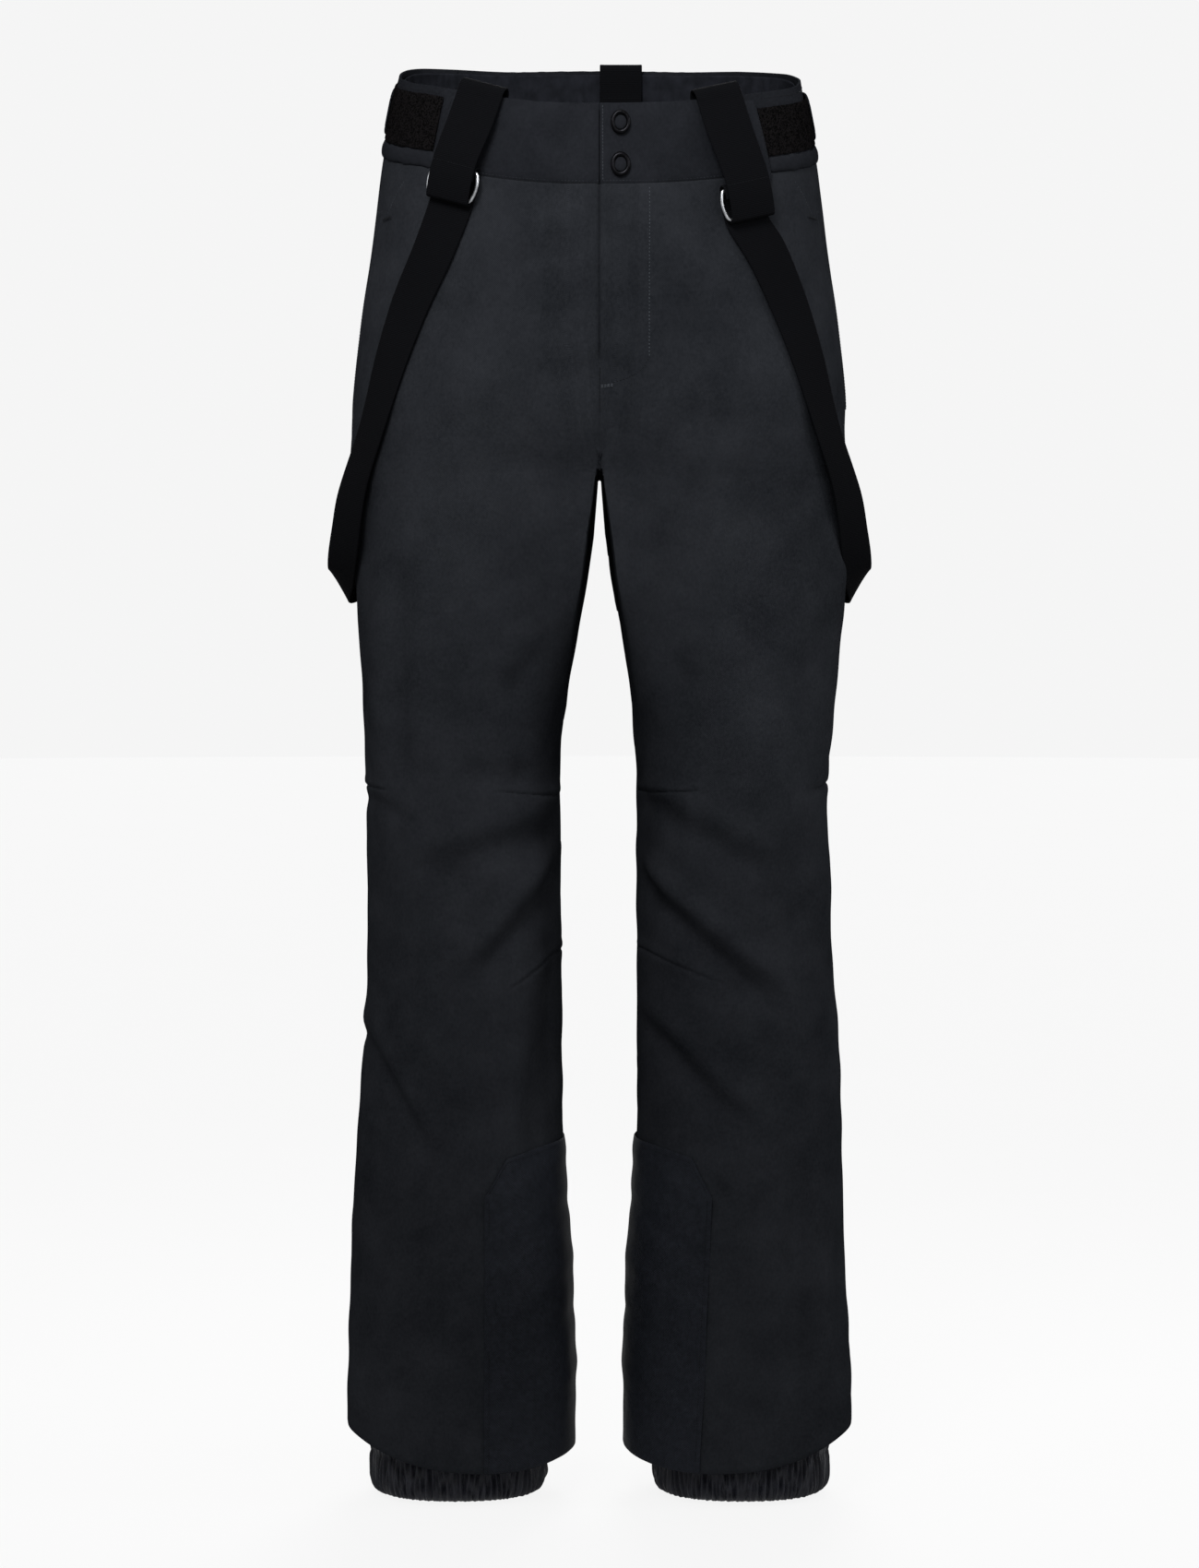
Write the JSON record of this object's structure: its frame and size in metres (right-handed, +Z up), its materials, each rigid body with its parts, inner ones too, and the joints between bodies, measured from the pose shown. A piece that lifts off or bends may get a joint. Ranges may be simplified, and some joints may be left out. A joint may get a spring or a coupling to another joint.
{
  "type": "ski pants",
  "caption": "Full-length ski trousers with a snap and zip fly, side waist adjusters, elastic suspenders on wire rings, shin kick patches and inner snow gaiters.",
  "frame": {"origin": "centre of the waist opening, held open as when worn", "axes": "+Z up along the legs towards the waist, the front faces -Y, the wearer's left is +X"},
  "size_m": [0.431, 0.2568, 1.1405],
  "materials": {
    "shell_fabric": "matt softshell twill, charcoal black",
    "reinforced_fabric": "dense matt reinforcement cloth",
    "lining": "smooth dark lining",
    "gaiter_fabric": "thin gathered nylon with a slight sheen",
    "elastic": "ribbed elastic",
    "zip_tape": "woven zip tape with a moulded coil",
    "hook_and_loop": "matt black hook-and-loop pile",
    "strap_webbing": "ribbed black elastic webbing",
    "ring_steel": "polished wire",
    "snap_black": "glossy black enamel",
    "snap_steel": "plain steel",
    "zip_metal": "black painted die-casting"
  },
  "bodies": {
    "garment": {"front_panel_right": "shell_fabric", "front_panel_left": "shell_fabric", "back_panel_right": "shell_fabric", "back_panel_left": "shell_fabric", "waistband_front_right": "shell_fabric", "waistband_front_left": "shell_fabric", "waistband_side_right": "shell_fabric", "waistband_side_left": "shell_fabric", "waistband_back": "shell_fabric", "waistband_underlap": "shell_fabric", "belt_loop_front_right": "shell_fabric", "belt_loop_front_left": "shell_fabric", "belt_loop_back_right": "shell_fabric", "belt_loop_back_left": "shell_fabric", "pocket_welt_right": "shell_fabric", "pocket_welt_left": "shell_fabric", "kick_patch_right": "reinforced_fabric", "kick_patch_left": "reinforced_fabric", "waistband_back_facing": "lining", "fly_guard": "lining", "pocket_bag_right": "lining", "pocket_bag_left": "lining", "gaiter_right": "gaiter_fabric", "gaiter_left": "gaiter_fabric", "waist_elastic": "elastic", "gaiter_elastic_right": "elastic", "gaiter_elastic_left": "elastic", "zip_tape_left": "zip_tape", "zip_tape_right": "zip_tape", "loop_patch_right": "hook_and_loop", "loop_patch_left": "hook_and_loop", "front_webbing_right": "strap_webbing", "front_webbing_left": "strap_webbing", "suspender_strap_right": "strap_webbing", "suspender_strap_left": "strap_webbing", "back_webbing": "strap_webbing", "back_patch": "strap_webbing", "snap_stud_upper": "snap_steel", "snap_stud_lower": "snap_steel", "zip_bottom_stop": "zip_metal"},
    "fly_flap": {"fly_flap": "shell_fabric", "waistband_overlap_tab": "shell_fabric", "snap_cap_upper": "snap_black", "snap_cap_lower": "snap_black", "snap_socket_upper": "snap_steel", "snap_socket_lower": "snap_steel"},
    "zip_slider": {"zip_slider": "zip_metal"},
    "zip_pull": {"zip_pull": "zip_metal"},
    "adjuster_tab_right": {"adjuster_tab_right": "shell_fabric", "hook_tape_right": "hook_and_loop"},
    "adjuster_tab_left": {"adjuster_tab_left": "shell_fabric", "hook_tape_left": "hook_and_loop"},
    "strap_ring_right": {"strap_ring_right": "ring_steel"},
    "strap_ring_left": {"strap_ring_left": "ring_steel"},
    "back_ring": {"back_ring": "ring_steel"}
  },
  "joints": [
    {"name": "fly_flap_hinge", "type": "hinge", "parent": "garment", "child": "fly_flap", "pos_m": [0.04, -0.1158, -0.236], "axis": [0, 0.0306, 0.9995], "range_deg": [0, 100]},
    {"name": "zip_slide", "type": "slide", "parent": "garment", "child": "zip_slider", "axis": [0, -0.0233, -0.9997], "range_m": [0, 0.12]},
    {"name": "zip_pull_swing", "type": "hinge", "parent": "zip_slider", "child": "zip_pull", "pos_m": [0.014, -0.10761, -0.09967], "axis": [0, 0.9997, -0.0233], "range_deg": [-25, 25]},
    {"name": "adjuster_tab_right_hinge", "type": "hinge", "parent": "garment", "child": "adjuster_tab_right", "pos_m": [-0.12085, 0.09433, -0.02579], "axis": [-0.142, 0.0889, -0.9859], "range_deg": [0, 100]},
    {"name": "adjuster_tab_left_hinge", "type": "hinge", "parent": "garment", "child": "adjuster_tab_left", "pos_m": [0.12085, 0.09433, -0.02579], "axis": [-0.142, -0.0889, 0.9859], "range_deg": [0, 100]},
    {"name": "strap_ring_right_swing", "type": "hinge", "parent": "garment", "child": "strap_ring_right", "pos_m": [-0.11511, -0.09804, -0.10066], "axis": [-0.8575, 0.4397, 0.2672], "range_deg": [-3, 3]},
    {"name": "strap_ring_left_swing", "type": "hinge", "parent": "garment", "child": "strap_ring_left", "pos_m": [0.11506, -0.09881, -0.11466], "axis": [-0.8712, -0.4358, -0.226], "range_deg": [-3, 3]},
    {"name": "back_ring_swing", "type": "hinge", "parent": "garment", "child": "back_ring", "pos_m": [0.012, 0.12324, -0.00127], "axis": [1, 0, 0], "range_deg": [-3, 3]}
  ]
}
